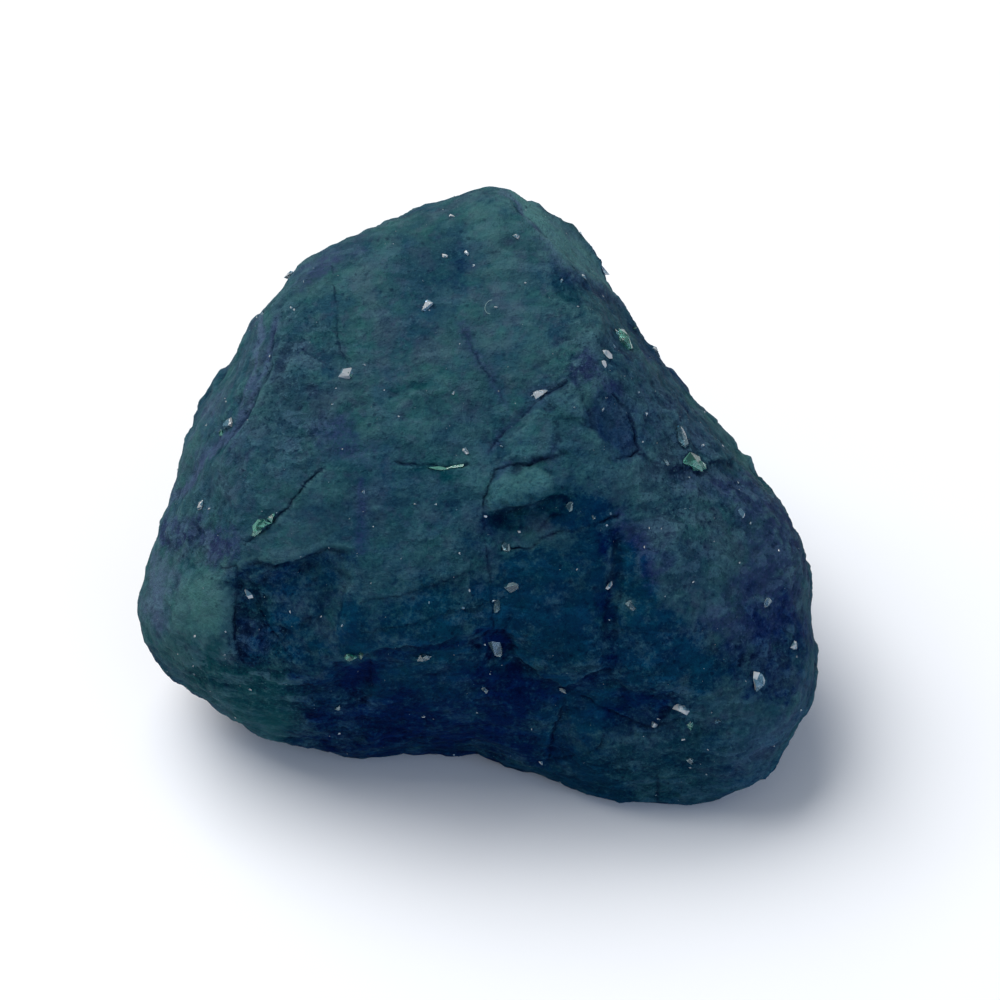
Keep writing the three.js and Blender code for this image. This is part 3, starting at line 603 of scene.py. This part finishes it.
def remeshed(mesh, size):
    piece = new_object("remesh", mesh)
    modifier = piece.modifiers.new("remesh", "REMESH")
    modifier.mode = "VOXEL"
    modifier.voxel_size = size
    seen = piece.evaluated_get(bpy.context.evaluated_depsgraph_get())
    result = bpy.data.meshes.new_from_object(seen)
    bpy.data.objects.remove(piece)
    return result


def refine(mesh, chosen):
    """Splits the edges whose two ends are chosen, so that the faces there become four."""
    form = bmesh.new()
    form.from_mesh(mesh)
    form.verts.ensure_lookup_table()
    edges = [edge for edge in form.edges if chosen[edge.verts[0].index] and chosen[edge.verts[1].index]]
    bmesh.ops.subdivide_edges(form, edges=edges, cuts=1, use_grid_fill=True)
    form.to_mesh(mesh)
    form.free()
    mesh.update()


def set_share(mesh, name, values, domain="POINT"):
    """Keeps a number for each point or face of a mesh, for its material."""
    attribute = mesh.attributes.new(name, "FLOAT", domain)
    attribute.data.foreach_set("value", values.astype(np.float32))


def skin_tree(mesh):
    """For finding places on the skin, in metres."""
    points = [Vector(p) for p in mesh_points(mesh) * MM]
    return BVHTree.FromPolygons(points, [tuple(polygon.vertices) for polygon in mesh.polygons])


# The front as the photograph shows it

def line_distance(pixels, line):
    """Pixels to a line of straight stretches, less than 0 on its left, and the share of it walked there."""
    best = np.full(len(pixels), 1e9)
    signed = np.full(len(pixels), 1e9)
    walked = np.zeros(len(pixels))
    for number, (start, end) in enumerate(zip(line, line[1:])):
        a = np.array(start, float)
        along = np.array(end, float) - a
        away = pixels - a
        share = np.clip(away @ along / (along @ along), 0, 1)
        gap = away - share[:, None] * along
        distance = np.hypot(gap[:, 0], gap[:, 1])
        side = np.where(along[0] * away[:, 1] > along[1] * away[:, 0], 1, -1)
        closer = distance < best
        best = np.where(closer, distance, best)
        signed = np.where(closer, distance * side, signed)
        walked = np.where(closer, (number + share) / (len(line) - 1), walked)
    return signed, walked


def inside(pixels, edge):
    """Whether each pixel lies inside a closed outline."""
    x, y = pixels[:, 0], pixels[:, 1]
    result = np.zeros(len(pixels), dtype=bool)
    for (ax, ay), (bx, by) in zip(edge, edge[1:] + edge[:1]):
        if ay != by:
            crosses = (ay > y) != (by > y)
            result ^= crosses & (x < ax + (y - ay) / (by - ay) * (bx - ax))
    return result


class Front:
    """Where each point of the skin lies on the photograph, and how much it faces it."""

    def __init__(self, mesh, picture):
        points = mesh_points(mesh)
        sway = [fractal(points, 2.4, SEED + 80 + k, 6, 0.66) for k in range(2)]
        shake = [fractal(points, 0.9, SEED + 85 + k, 3, 0.7) for k in range(2)]
        exact = picture.pixels(points * MM)
        self.pixels = exact + EDGE_SWAY * np.stack(sway, axis=1)
        self.crack_pixels = exact + CRACK_SWAY * np.stack(shake, axis=1)
        facing = mesh_normals(mesh) @ picture.back
        self.facing = smoothstep(0.0, 0.25, facing)
        self.mm_per_px = picture.mm_per_px
        self.wander = fractal(points, 1.8, SEED + 90, 4, 0.7)

    def near(self, line, margin):
        """The points in sight within a margin, in pixels, of a line's box."""
        corners = np.array(line, float)
        close = (self.pixels > corners.min(0) - margin) & (self.pixels < corners.max(0) + margin)
        return np.flatnonzero(close.all(axis=1) & (self.facing > 0))

    def zone(self, zone, blur=0.0):
        """1 inside a zone and 0 outside, with its edge softer by a blur in pixels."""
        share = np.zeros(len(self.pixels))
        soft = zone.soft + blur
        near = self.near(zone.edge, 2 * soft + 3)
        pixels = self.pixels[near]
        depth = np.abs(line_distance(pixels, zone.edge + zone.edge[:1])[0])
        depth = np.where(inside(pixels, zone.edge), depth, -depth)
        depth += 0.7 * soft * self.wander[near]
        share[near] = smoothstep(-soft, soft, depth) * self.facing[near]
        return share

    def vein(self, line, half_width):
        """1 on a line and 0 beyond its width."""
        share = np.zeros(len(self.pixels))
        near = self.near(line, 2 * half_width)
        wide = half_width * (1.4 + 0.9 * self.wander[near])
        gap, _ = line_distance(self.pixels[near], line)
        share[near] = np.exp(-(gap / np.maximum(wide, 0.5)) ** 2) * self.facing[near]
        return share

    def gap(self, line, most=1.0):
        """Millimetres to a line, or more than can matter."""
        gap = np.full(len(self.pixels), most)
        near = self.near(line, most / self.mm_per_px)
        pixels, _ = line_distance(self.crack_pixels[near], line)
        gap[near] = np.abs(pixels) * self.mm_per_px + most * (1 - self.facing[near])
        return np.minimum(gap, most)

    def ledge(self, reach, line):
        """1 at the foot of a ledge, 0 on top of it and far from it."""
        share = np.zeros(len(self.pixels))
        near = self.near(line, 4 * reach / self.mm_per_px)
        pixels, walked = line_distance(self.crack_pixels[near], line)
        gap = pixels * self.mm_per_px
        ends = smoothstep(0.0, 0.12, walked) * smoothstep(1.0, 0.88, walked)
        foot = smoothstep(-0.16, 0.2, gap) * np.exp(-np.maximum(gap, 0) / reach)
        share[near] = foot * ends * self.facing[near]
        return share

    def crack_gap(self, least_depth=0.0):
        """Millimetres to the nearest crack of at least a depth."""
        return np.min([self.gap(line) for depth, line in CRACKS.values() if depth > least_depth], axis=0)


# The stone

def stone_form(picture):
    """The solid's form with its facets evened out, with a finer mesh on the front and at the cracks."""
    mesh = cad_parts["emerald"].data.copy()
    mesh.transform(Matrix.Scale(1 / MM, 4))
    mesh = remeshed(mesh, VOXEL)
    set_points(mesh, smooth(mesh_points(mesh), mesh_edges(mesh), FORM_ROUNDS))
    level_marks(mesh, picture)
    level = mesh_points(mesh)[:, 2]
    refine(mesh, (mesh_normals(mesh) @ picture.back > FINE_FACING) & (level > FINE_ABOVE))
    set_points(mesh, smooth(mesh_points(mesh), mesh_edges(mesh), EVEN_ROUNDS))
    refine(mesh, (seam_share(mesh_points(mesh), 0.2) > 0.1) & (mesh_normals(mesh) @ picture.back < 0))
    refine(mesh, Front(mesh, picture).crack_gap() < LINE_REACH)
    refine(mesh, Front(mesh, picture).crack_gap(OPEN_CRACK) < CRACK_REACH)
    return mesh


def level_marks(mesh, picture):
    """Takes the solid's own chips and grooves off the skin, because finer ones take their place."""
    points = mesh_points(mesh)
    tree = skin_tree(mesh)
    bumps = np.zeros(len(points))
    for chip in BRIGHT_CHIPS + CLEAR_CHIPS + GREEN_CHIPS:
        reach = 1.3 * chip.length * picture.mm_per_px
        if reach > LEVELLED_CHIP:
            place, _ = picture.hit(tree, chip.x, chip.y)
            away = np.linalg.norm(points - np.array(place) / MM, axis=1)
            bumps = np.maximum(bumps, smoothstep(reach * 1.2, reach * 0.8, away))
    front = Front(mesh, picture)
    for name in LEVELLED:
        bumps = np.maximum(bumps, smoothstep(1.0, 0.6, front.gap(CRACKS[name][1], 1.5)))
    set_points(mesh, smooth(points, mesh_edges(mesh), LEVEL_ROUNDS, bumps))


def roughness_share(points, front):
    """How broken the skin is: about 1 as a rule, more in stained zones and less on facets."""
    share = np.ones(len(points))
    for zone in ZONES.values():
        share += (zone.rough - share) * front.zone(zone)
    away = 1 - front.facing
    share += BACK_ROUGHER * away
    patches = fractal(points, ROUGH_PATCHES.size, SEED + ROUGH_PATCHES.seed, 3)
    uneven = ROUGH_PATCHES.height + BACK_UNEVEN * away
    return np.clip(ROUGH_MEAN * share + uneven * patches, *ROUGH_LIMITS)


def crack_half_width(depth):
    return 0.05 + 0.14 * depth


def crack_opening(points):
    """How far a crack has opened here: 0 where it is shut."""
    return np.clip(0.8 + 0.75 * fractal(points, 1.7, SEED + 110, 3, 0.6), 0.0, 1.3)


def seam_share(points, half_width=0.08):
    """1 in the middle of the cracks on the sides that the photograph does not show, and 0 off them."""
    gap = np.abs(fractal(points, 8.0, SEED + 140, 3, 0.5))
    open_parts = smoothstep(0.0, 0.35, fractal(points, 6.0, SEED + 150, 2))
    return open_parts * smoothstep(half_width, 0.0, gap)


def flakes(points, wave, seed):
    """0 or 1 with steep ragged steps between, as where flakes have come off."""
    return smoothstep(-0.04, 0.06, fractal(points, wave, seed, 4, 0.5))


def broken_height(points, front, rough):
    """How far the broken skin stands out from the stone's form, in millimetres."""
    warp = [WARP.height * fractal(points, WARP.size, SEED + WARP.seed + k, 3) for k in range(3)]
    warp = np.stack(warp, axis=1)
    height = SWELLS.height * fractal(points, SWELLS.size, SEED + SWELLS.seed, 3)
    height -= DISHES.height * scoops(points + warp, DISHES.size, SEED + DISHES.seed)
    drawn_out = along_grain(points)
    for scar, bend in SCARS:
        height += rough * scar.height * scoops(drawn_out + bend * warp, scar.size, SEED + scar.seed)
    height += rough * GRIT.height * fractal(points, GRIT.size, SEED + GRIT.seed, 3, 0.7)
    for zone in ZONES.values():
        if zone.lift:
            height += zone.lift * front.zone(zone)
    for drop, reach, line in LEDGES.values():
        height -= drop * front.ledge(reach, line)
    opening = crack_opening(points)
    for depth, line in CRACKS.values():
        mouth = smoothstep(CRACK_MOUTH * crack_half_width(depth), 0, front.gap(line))
        height -= CRACK_DEPTH * depth * opening * mouth
    away = 1 - front.facing
    height -= away * BACK_DISHES.height * scoops(points + warp, BACK_DISHES.size, SEED + BACK_DISHES.seed)
    steps = sum(flake.height * flakes(points, flake.size, SEED + flake.seed) for flake in BACK_FLAKES)
    height += away * (steps - BACK_DROP)
    return height - SEAM_DEPTH * away * seam_share(points)


def stone_mesh(picture):
    """The stone's skin in millimetres, with what its material needs to know about its points."""
    mesh = stone_form(picture)
    points = mesh_points(mesh)
    normals = mesh_normals(mesh)
    front = Front(mesh, picture)
    ground = smoothstep(0.0, 0.8, points[:, 2])
    rough = roughness_share(points, front)
    broken = points + normals * (broken_height(points, front, rough) * ground)[:, None]
    broken[:, 2] = np.maximum(broken[:, 2], 0)
    set_points(mesh, broken)
    paint(mesh, front, broken, normals)
    # Where painted shade darkens the cracks and seams
    set_share(mesh, "crack", crack_share(broken, front))
    set_share(mesh, "rough", rough)
    # How hollow the skin is, for its painted shade in hollows and painted light on ridges
    set_share(mesh, "hollow", hollowness(broken, mesh_edges(mesh), mesh_normals(mesh)))
    return mesh


def paint(mesh, front, points, form_normals):
    """Where the skin has its stains and tints, and the painted shade of its lower front and of where it turns
    under.
    """
    tints = {tint: np.zeros(len(points)) for tint in ("purple", "pale", "navy_tone_and_shade", "slate", "green", "deep_tone_and_shade")}

    def add(tint, share):
        tints[tint] = np.maximum(tints[tint], share)

    for zone in ZONES.values():
        share = front.zone(zone, min(zone.soft, TINT_BLUR))
        for tint, strength in zone.tints.items():
            add(tint, strength * share)
    for tint, strength, half_width, line in VEINS.values():
        add(tint, strength * front.vein(line, half_width))
    away = 1 - front.facing
    for number, (tint, wave, strength) in enumerate(BACK_TINTS):
        cloud = smoothstep(0.0, 0.8, fractal(points, wave, SEED + 120 + 10 * number, 4))
        add(tint, strength * cloud * away)
    # Painted shade where the skin turns under, on the sides turned away
    add("navy_tone_and_shade", BACK_FOOT_SHADE * smoothstep(0.1, -0.5, mesh_normals(mesh)[:, 2]) * away)
    # Painted shade: the front grows darker as its form turns down, most under the foot that hangs over
    across = front.pixels[:, 0]
    shaded = smoothstep(*OVERHANG_FROM, across) * (1 - OVERHANG_LIGHTER * smoothstep(*OVERHANG_TO, across))
    sideways, upward = np.abs(form_normals[:, 0]), form_normals[:, 2]
    low_front_shade = smoothstep(0.85, 0.2, upward) * smoothstep(0.9, 0.3, sideways)
    low_front_shade *= front.facing * (0.3 + 0.7 * shaded)
    overhang_shade = smoothstep(0.4, -0.2, upward) * shaded
    tints["deep_tone_and_shade"] = np.minimum(tints["deep_tone_and_shade"] + LOW_FRONT_SHADE * low_front_shade + OVERHANG_SHADE * overhang_shade, 1)
    for tint, share in tints.items():
        set_share(mesh, tint, share)


def crack_share(points, front):
    """How dark the painted shade in the cracks is: 1 in the middle of an open one that goes far in, and 0 off
    them.
    """
    share = np.zeros(len(points))
    for depth, line in CRACKS.values():
        strength = min(0.5 + 1.8 * depth, 1)
        stain_and_sheen = smoothstep(CRACK_SHADE * crack_half_width(depth), 0, front.gap(line))
        share = np.maximum(share, strength * stain_and_sheen)
    share *= 0.25 + 0.75 * np.minimum(crack_opening(points), 1)
    return np.maximum(share, SEAM_SHADE * (1 - front.facing) * seam_share(points))


def hollowness(points, edges, normals):
    """From 0 on a ridge to 1 in a hollow."""
    share = np.full(len(points), 0.5)
    for rounds, full in HOLLOWS:
        share += np.sum((smooth(points, edges, rounds) - points) * normals, axis=1) / full
    return np.clip(share, 0, 1)


# Materials

def srgb(red, green, blue):
    """A colour as it looks on a screen, 0 to 255, as the shader wants it."""
    parts = []
    for value in (red / 255, green / 255, blue / 255):
        parts.append(value / 12.92 if value <= 0.04045 else ((value + 0.055) / 1.055) ** 2.4)
    return (*parts, 1.0)


class Nodes:
    """Short words for building a material's nodes."""

    def __init__(self, name):
        self.material = bpy.data.materials.new(name)
        self.material.use_nodes = True
        self.tree = self.material.node_tree
        self.shader = self.tree.nodes["Principled BSDF"]

    def add(self, kind, inputs=None, **settings):
        node = self.tree.nodes.new(kind)
        for name, value in settings.items():
            setattr(node, name, value)
        for name, value in (inputs or {}).items():
            self.set(node.inputs[name], value)
        return node

    def set(self, socket, value):
        if isinstance(value, bpy.types.NodeSocket):
            self.tree.links.new(value, socket)
        else:
            socket.default_value = value

    def place(self):
        """Millimetres on the object."""
        place = self.add("ShaderNodeTexCoord").outputs["Object"]
        return self.add("ShaderNodeVectorMath", {0: place, "Scale": 1 / MM}, operation="SCALE").outputs[0]

    def share(self, name):
        """A number that the mesh keeps for its points or faces."""
        return self.add("ShaderNodeAttribute", attribute_name=name).outputs["Fac"]

    def stretched(self, place, turn, scale):
        inputs = {"Vector": place, "Rotation": [math.radians(angle) for angle in turn], "Scale": scale}
        return self.add("ShaderNodeMapping", inputs).outputs[0]

    def math(self, operation, a, b=0.0):
        return self.add("ShaderNodeMath", {0: a, 1: b}, operation=operation).outputs[0]

    def ramp(self, value, low, high, to_low=0.0, to_high=1.0):
        inputs = {"Value": value, "From Min": low, "From Max": high, "To Min": to_low, "To Max": to_high}
        return self.add("ShaderNodeMapRange", inputs, interpolation_type="SMOOTHSTEP").outputs["Result"]

    def mix(self, share, a, b, blend="MIX"):
        node = self.add("ShaderNodeMix", data_type="RGBA", blend_type=blend)
        self.set(node.inputs["Factor"], share)
        self.set(node.inputs[6], a)
        self.set(node.inputs[7], b)
        return node.outputs[2]

    def noise(self, place, scale, detail=4.0, roughness=0.55):
        inputs = {"Vector": place, "Scale": scale, "Detail": detail, "Roughness": roughness}
        return self.add("ShaderNodeTexNoise", inputs).outputs["Fac"]

    def cloud(self, place, scale, shift, low, high, strength):
        """A patchy share with wavering edges."""
        moved = self.add("ShaderNodeVectorMath", {0: place, 1: (shift, shift, shift)}).outputs[0]
        return self.ramp(self.noise(moved, scale, 2, 0.65), low, high, 0.0, strength)

    def cells(self, place, sway, amount, scale):
        """Cells with ragged edges."""
        step = self.add("ShaderNodeVectorMath", {0: sway, "Scale": amount}, operation="SCALE").outputs[0]
        moved = self.add("ShaderNodeVectorMath", {0: place, 1: step}).outputs[0]
        return self.add("ShaderNodeTexVoronoi", {"Vector": moved, "Scale": scale})

    def facets(self, place, sway, scale):
        """Broken faces, each with a tone of its own from 0 to 1."""
        cells = self.cells(place, sway, 0.8, scale)
        return self.add("ShaderNodeSeparateColor", {"Color": cells.outputs["Color"]}).outputs[0]

    def pits(self, place, sway, scale):
        """Small dark spots here and there: painted shade as in pits, which the relief does not have."""
        cells = self.cells(place, sway, 0.5, scale)
        chance = self.add("ShaderNodeSeparateColor", {"Color": cells.outputs["Color"]}).outputs[1]
        hole = self.ramp(cells.outputs["Distance"], 0.3, 0.08)
        return self.math("MULTIPLY", hole, self.ramp(chance, 0.55, 0.8))

    def stain_and_sheen(self, mask, noise, amount, strength):
        """A soft mask whose edge and body follow the noise."""
        shift = self.math("MULTIPLY", self.math("SUBTRACT", noise, 0.5), amount)
        return self.ramp(self.math("ADD", mask, self.math("MULTIPLY", shift, mask)), 0.05, 1.0, 0.0, strength)

    def bump(self, height, strength, depth):
        """Raises the shading by a height, with a depth in millimetres."""
        node = self.add("ShaderNodeBump", {"Height": height, "Strength": strength, "Distance": depth * MM})
        self.set(self.shader.inputs["Normal"], node.outputs["Normal"])


def stone_material():
    """The stone's colours, one layer over another, and its finest relief."""
    n = Nodes("emerald")
    place = n.place()
    broad = n.noise(place, scale=0.22, detail=3, roughness=0.6)
    medium = n.noise(place, scale=0.8, detail=4, roughness=0.7)
    fine = n.noise(place, scale=3.5, detail=3, roughness=0.85)
    uneven = n.noise(place, scale=0.34, detail=3, roughness=0.6)
    drawn_out = n.stretched(place, GRAIN_TURN, FIBRE_STRETCH)
    fibres = n.noise(drawn_out, scale=0.9, detail=3, roughness=0.75)
    sway = n.add("ShaderNodeCombineXYZ", {"X": medium, "Y": fibres, "Z": fine}).outputs[0]
    facet = n.facets(place, sway, scale=0.36)
    blades = n.facets(n.stretched(place, GRAIN_TURN, BLADE_STRETCH), sway, scale=1.1)
    rough, hollow = n.share("rough"), n.share("hollow")
    bladed = n.ramp(rough, 0.8, 1.8, 0.3, 1.0)
    busy = n.ramp(rough, 0.6, 1.8, 0.55, 1.6)

    colour = n.mix(n.ramp(broad, 0.36, 0.64), srgb(*TONES["blue"]), srgb(*TONES["teal"]))
    layers = [
        ("blue_cloud", n.cloud(place, scale=0.4, shift=3, low=0.48, high=0.66, strength=0.4)),
        ("green_cloud", n.cloud(place, scale=0.5, shift=19, low=0.48, high=0.62, strength=0.4)),
        ("slate_cloud", n.cloud(place, scale=0.35, shift=37, low=0.5, high=0.64, strength=0.4)),
        ("purple_cloud", n.cloud(place, scale=1.3, shift=53, low=0.52, high=0.66, strength=0.3)),
        ("light_facet", n.ramp(facet, 0.6, 1.0, to_high=0.22)),
        ("dark_facet", n.ramp(facet, 0.4, 0.0, to_high=0.22)),
        ("light_patch", n.ramp(medium, 0.5, 0.8, to_high=0.45)),
        ("dark_patch", n.ramp(medium, 0.5, 0.22, to_high=0.45)),
        ("fibre", n.ramp(fibres, 0.55, 0.86, to_high=0.35)),
        # Slate and pale: lighter tone, and painted sheen and painted highlights on lit faces, rims and ridges
        ("slate", n.stain_and_sheen(n.share("slate"), fibres, amount=1.4, strength=0.7)),
        ("pale", n.stain_and_sheen(n.share("pale"), medium, amount=1.4, strength=0.8)),
        ("green", n.stain_and_sheen(n.share("green"), medium, amount=1.2, strength=0.9)),
        ("purple", n.stain_and_sheen(n.share("purple"), fine, amount=3.0, strength=0.8)),
        # Painted shade in hollows and painted light on ridges
        ("hollow", n.ramp(hollow, 0.52, 0.95, to_high=0.65)),
        ("ridge", n.ramp(hollow, 0.48, 0.08, to_high=0.45)),
        ("light_blade", n.math("MULTIPLY", n.ramp(blades, 0.6, 1.0, to_high=0.4), bladed)),
        ("dark_blade", n.math("MULTIPLY", n.ramp(blades, 0.4, 0.0, to_high=0.5), bladed)),
        # Painted shade: dark spots as in small pits
        ("pit", n.math("MULTIPLY", n.pits(place, sway, scale=1.5), 0.55)),
        # Painted shade in the cracks
        ("crack", n.math("MULTIPLY", n.share("crack"), 0.75)),
        ("dark_grain", n.math("MULTIPLY", n.ramp(fine, 0.5, 0.3, to_high=0.6), busy)),
        ("light_grain", n.math("MULTIPLY", n.ramp(fine, 0.53, 0.75, to_high=0.42), busy)),
    ]
    for tone, share in layers:
        colour = n.mix(share, colour, srgb(*TONES[tone]))
    patchy = n.math("MULTIPLY", n.ramp(medium, 0.34, 0.66, 0.72, 1.28), n.ramp(fine, 0.7, 0.3, 0.72, 1.28))
    patchy = n.math("MULTIPLY", patchy, n.ramp(uneven, 0.36, 0.6, 0.78, 1.2))
    # Painted shade and darker tone, multiplied into the colour
    for tint, left in DARK_TINTS.items():
        share = n.math("MINIMUM", n.math("MULTIPLY", n.share(tint), patchy), 1.0)
        colour = n.mix(share, colour, left, "MULTIPLY")
    n.set(n.shader.inputs["Base Color"], colour)
    n.set(n.shader.inputs["Roughness"], n.ramp(fine, 0.2, 0.8, 0.5, 0.75))
    n.shader.inputs["Specular IOR Level"].default_value = 0.01

    height = n.math("ADD", medium, n.math("MULTIPLY", n.math("MULTIPLY", fine, 0.36), busy))
    n.bump(height, strength=0.9, depth=0.5)
    return n.material


def crystal_material(name, kind):
    """Broken crystal whose faces differ, from clear and dark to frosted and light."""
    n = Nodes(name)
    cloud = n.noise(n.place(), scale=3.0, detail=4, roughness=0.6)
    frost = n.math("ADD", n.share("frost"), n.math("MULTIPLY", n.math("SUBTRACT", cloud, 0.5), 0.8))
    colour = n.mix(n.ramp(frost, 0.3, 0.7), srgb(*kind.dark), srgb(*kind.light))
    n.set(n.shader.inputs["Base Color"], colour)
    n.set(n.shader.inputs["Roughness"], n.ramp(cloud, 0.3, 0.7, 0.02, 0.12))
    n.shader.inputs["Transmission Weight"].default_value = kind.clearness
    n.shader.inputs["IOR"].default_value = CRYSTAL_IOR
    n.bump(cloud, strength=0.3, depth=0.1)
    return n.material


def lint_material():
    n = Nodes("lint")
    cloud = n.noise(n.place(), scale=8.0)
    n.set(n.shader.inputs["Base Color"], n.mix(cloud, srgb(90, 124, 128), srgb(140, 168, 166)))
    n.shader.inputs["Roughness"].default_value = 0.9
    return n.material


# Pieces

def finish_piece(name, mesh, material):
    mesh.name = name
    mesh.materials.clear()
    mesh.materials.append(material)
    piece = new_object(name, mesh)
    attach(piece, "root")
    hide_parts("emerald")


def form_mesh(name, form):
    """A mesh from a form that is no longer needed."""
    mesh = bpy.data.meshes.new(name)
    form.to_mesh(mesh)
    form.free()
    return mesh


def build_stone(picture):
    """Makes the stone's skin, and returns it with a way to find places on it."""
    mesh = stone_mesh(picture)
    tree = skin_tree(mesh)
    mesh.transform(Matrix.Scale(MM, 4))
    mesh.polygons.foreach_set("use_smooth", np.ones(len(mesh.polygons), dtype=bool))
    finish_piece("emerald_skin", mesh, stone_material())
    return mesh, tree


def add_crystal(form, place, along, normal, length, width, rng):
    """A broken flat-faced chip, half sunk at a place on the skin."""
    across = normal.cross(along).normalized()
    along = across.cross(normal).normalized()
    turn = Matrix((along, across, normal)).transposed()
    thick = CHIP_THICKNESS * width
    corners = []
    for _ in range(CHIP_CORNERS):
        point = rng.normal(size=3)
        point /= np.linalg.norm(point)
        point *= rng.uniform(0.85, 1.0)
        local = Vector((point[0] * length, point[1] * width, point[2] * thick)) * CHIP_SIZE
        corners.append(form.verts.new(place + turn @ local + normal * thick * CHIP_RISE))
    hull = bmesh.ops.convex_hull(form, input=corners)
    spare = hull["geom_interior"] + hull["geom_unused"]
    unused = {item for item in spare if isinstance(item, bmesh.types.BMVert)}
    bmesh.ops.delete(form, geom=list(unused), context="VERTS")


def chips_form(picture, tree, chips, rng):
    """Chips where the photograph shows them."""
    form = bmesh.new()
    scale = picture.mm_per_px * MM
    for chip in chips:
        place, normal = picture.hit(tree, chip.x, chip.y)
        turn = math.radians(chip.turn)
        along = Vector(picture.right * math.cos(turn) - picture.up * math.sin(turn))
        add_crystal(form, place, along, normal, chip.length * scale, chip.width * scale, rng)
    return form


def scatter_chips(form, skin, chosen, count, sizes, rng):
    """Chips at random on the chosen faces of the skin, most of them near the least size."""
    areas = read(skin.polygons, "area", 1)[:, 0] * chosen
    for index in rng.choice(len(areas), count, p=areas / areas.sum()):
        polygon = skin.polygons[index]
        size = MM * (sizes[0] + (sizes[1] - sizes[0]) * rng.random() ** 3)
        along = Vector(rng.normal(size=3))
        add_crystal(form, polygon.center, along, polygon.normal, size, size * rng.uniform(0.5, 0.9), rng)


def build_chips(picture, skin, tree):
    rng = np.random.default_rng(SEED)
    frost = np.random.default_rng(SEED + 1)
    for name, kind in CRYSTALS.items():
        form = chips_form(picture, tree, kind.chips, rng)
        if name == "bright_chips":
            raised = np.array([polygon.center.z > MM for polygon in skin.polygons])
            unseen = np.array([polygon.normal.dot(picture.back) < -0.05 for polygon in skin.polygons])
            scatter_chips(form, skin, raised, SPECKS, SPECK_SIZE, rng)
            scatter_chips(form, skin, raised & unseen, BACK_CHIPS, BACK_CHIP_SIZE, rng)
        mesh = form_mesh(name, form)
        set_share(mesh, "frost", frost.random(len(mesh.polygons)), "FACE")
        finish_piece(name, mesh, crystal_material(name, kind))


def build_lint(picture, tree):
    """A thin curled fibre that lies on the skin."""
    form = bmesh.new()
    rings = []
    radius = LINT_RADIUS * MM
    side = Vector(picture.right)
    angles = np.linspace(0, 2 * math.pi, LINT_SIDES, endpoint=False)
    for x, y in LINT:
        place, normal = picture.hit(tree, x, y)
        middle = place + normal * radius * 1.5
        up = normal.cross(side).normalized()
        ways = [side * math.cos(angle) + up * math.sin(angle) for angle in angles]
        rings.append([form.verts.new(middle + radius * way) for way in ways])
    for low, high in zip(rings, rings[1:]):
        for k in range(LINT_SIDES):
            after = (k + 1) % LINT_SIDES
            form.faces.new((low[k], low[after], high[after], high[k]))
    for ring in (rings[0], rings[-1]):
        form.faces.new(ring)
    bmesh.ops.recalc_face_normals(form, faces=form.faces)
    finish_piece("lint", form_mesh("lint", form), lint_material())


# Stage

def make_floor():
    mesh = bpy.data.meshes.new("floor")
    reach = FLOOR_REACH
    corners = [(-reach, -reach, 0), (reach, -reach, 0), (reach, reach, 0), (-reach, reach, 0)]
    mesh.from_pydata(corners, [], [(0, 1, 2, 3)])
    n = Nodes("floor")
    n.shader.inputs["Base Color"].default_value = FLOOR_COLOUR
    n.shader.inputs["Roughness"].default_value = 0.9
    n.shader.inputs["Specular IOR Level"].default_value = 0.1
    mesh.materials.append(n.material)
    new_object("floor", mesh)


def make_lights():
    for name, (place, size, power, colour) in LIGHTS.items():
        data = bpy.data.lights.new(name, "AREA")
        data.color = colour
        data.size = size
        data.energy = power
        light = bpy.data.objects.new(name, data)
        light.location = place
        light.rotation_mode = "QUATERNION"
        light.rotation_quaternion = (-Vector(place)).to_track_quat("-Z", "Y")
        bpy.context.scene.collection.objects.link(light)
    world = bpy.data.worlds.new("world")
    bpy.context.scene.world = world
    world.use_nodes = True
    background = world.node_tree.nodes["Background"]
    background.inputs["Color"].default_value = SKY
    background.inputs["Strength"].default_value = SKY_STRENGTH
    bpy.context.scene.view_settings.view_transform = "Standard"


picture = make_camera(mesh_points(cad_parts["emerald"].data))
skin, tree = build_stone(picture)
build_chips(picture, skin, tree)
build_lint(picture, tree)
make_floor()
make_lights()
